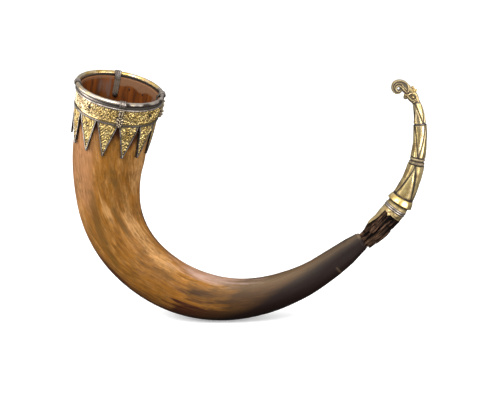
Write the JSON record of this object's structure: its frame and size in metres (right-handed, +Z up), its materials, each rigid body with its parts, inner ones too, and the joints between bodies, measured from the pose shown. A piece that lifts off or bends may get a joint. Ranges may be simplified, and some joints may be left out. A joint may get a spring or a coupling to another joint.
{
  "type": "drinking horn",
  "caption": "Curved cattle-horn drinking vessel with a dagged gilt rim mount and a faceted gilt terminal that ends in a curled monster's head.",
  "frame": {"origin": "lowest point of the horn's belly, where a cradle holds it", "axes": "+Z up out of the mouth's side, +X from the mouth towards the terminal, front at -Y"},
  "size_m": [0.3622, 0.0961, 0.2669],
  "materials": {
    "horn": "polished horn, brown at the mouth and nearly black at the tip",
    "gilt": "worn gilding over engraved sheet",
    "silver": "darkened silver",
    "iron": "blackened",
    "wood": "dark splintered wood"
  },
  "bodies": {
    "root": {"horn_body": "horn", "rim_roll": "gilt", "rim_band": "gilt", "rim_fillet": "silver", "band_edge_wire": "silver", "dag_01": "gilt", "dag_02": "gilt", "dag_03": "gilt", "dag_04": "gilt", "dag_05": "gilt", "dag_06": "gilt", "dag_07": "gilt", "dag_08": "gilt", "dag_09": "gilt", "dag_10": "gilt", "dag_11": "gilt", "dag_12": "gilt", "clip_strap_front": "silver", "clip_strap_right": "silver", "clip_strap_back": "silver", "clip_strap_left": "silver", "clip_rivet_front": "iron", "clip_rivet_right": "iron", "clip_rivet_back": "iron", "clip_rivet_left": "iron", "clip_leaf_front": "gilt", "clip_leaf_right": "gilt", "clip_leaf_back": "gilt", "band_nail_1": "iron", "band_nail_2": "iron", "band_nail_3": "iron", "band_nail_4": "iron", "tip_plug": "wood", "tip_socket": "gilt", "socket_wire": "silver", "tip_knop": "gilt", "tip_cone": "gilt", "mid_collar": "silver", "stem_tube": "gilt", "stem_ring": "silver", "neck_tube": "gilt", "neck_ring": "silver", "monster_head": "gilt"}
  },
  "joints": []
}
